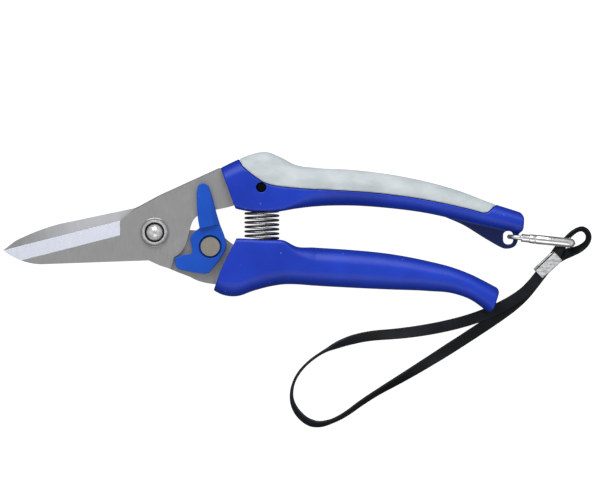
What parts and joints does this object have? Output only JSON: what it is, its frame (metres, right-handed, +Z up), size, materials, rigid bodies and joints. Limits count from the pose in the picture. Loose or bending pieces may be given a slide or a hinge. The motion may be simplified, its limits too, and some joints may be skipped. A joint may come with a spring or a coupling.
{
  "type": "pruning shears",
  "caption": "Hand pruning shears with straight bypass blades, moulded handles, coil return spring, thumb latch and a flat wrist strap on a snap hook.",
  "frame": {"origin": "on the ground under the middle of the closed shears, hook included and strap left out", "axes": "+X from the blade tips to the handle tails, +Y towards the upper handle, +Z up from the ground"},
  "size_m": [0.2262, 0.1063, 0.0165],
  "materials": {
    "blade_steel": "brushed lengthwise, bright ground bevels",
    "bright_metal": "polished plating",
    "rivet_steel": "satin",
    "spring_steel": "drawn wire",
    "grip_plastic": "semi-gloss moulded, fine texture",
    "latch_plastic": "semi-gloss moulded",
    "soft_insert": "matt soft-touch",
    "strap_black": "smooth synthetic leather"
  },
  "bodies": {
    "upper_handle": {"front_blade": "blade_steel", "pivot_bolt": "bright_metal", "pivot_collar": "bright_metal", "pivot_washer": "bright_metal", "pivot_nut": "bright_metal", "upper_grip": "grip_plastic", "upper_grip_insert": "soft_insert", "return_spring": "spring_steel"},
    "lower_handle": {"back_blade": "blade_steel", "lower_grip": "grip_plastic", "latch_rivet": "rivet_steel", "latch_spring_washer": "rivet_steel", "latch_rivet_burr": "rivet_steel"},
    "latch": {"latch_lever": "latch_plastic"},
    "hook": {"hook_body": "bright_metal", "hook_gate_pin": "bright_metal"},
    "gate": {"hook_gate": "bright_metal", "hook_gate_spring": "spring_steel", "hook_gate_plunger": "bright_metal"},
    "strap": {"strap_ferrule": "bright_metal", "wrist_strap": "strap_black", "hook_loop": "strap_black"}
  },
  "joints": [
    {"name": "handle_open", "type": "hinge", "parent": "upper_handle", "child": "lower_handle", "pos_m": [-0.05178, -0.0003, 0.00825], "axis": [0, 0, -1], "range_deg": [0, 22], "deforming": ["return_spring"]},
    {"name": "latch_swing", "type": "hinge", "parent": "lower_handle", "child": "latch", "pos_m": [-0.03037, -0.0058, 0.01], "axis": [0, 0, 1], "range_deg": [0, 25]},
    {"name": "hook_swing", "type": "hinge", "parent": "upper_handle", "child": "hook", "pos_m": [0.08507, -0.002, 0.00825], "axis": [0, 0, -1], "range_deg": [0, 20]},
    {"name": "gate_open", "type": "hinge", "parent": "hook", "child": "gate", "pos_m": [0.10762, -0.00433, 0.01017], "axis": [-0.1028, -0.9947, 0], "range_deg": [0, 20], "stiffness_Nm_per_rad": 0.01, "springref_deg": -11.46},
    {"name": "strap_swing", "type": "hinge", "parent": "hook", "child": "strap", "pos_m": [0.10522, -0.0041, 0.005], "axis": [0, 0, 1], "range_deg": [0, 21]}
  ],
  "couplings": [
    {"joint": "latch_swing", "follows": "handle_open", "ratio": 1.1},
    {"joint": "strap_swing", "follows": "hook_swing", "ratio": 1}
  ]
}
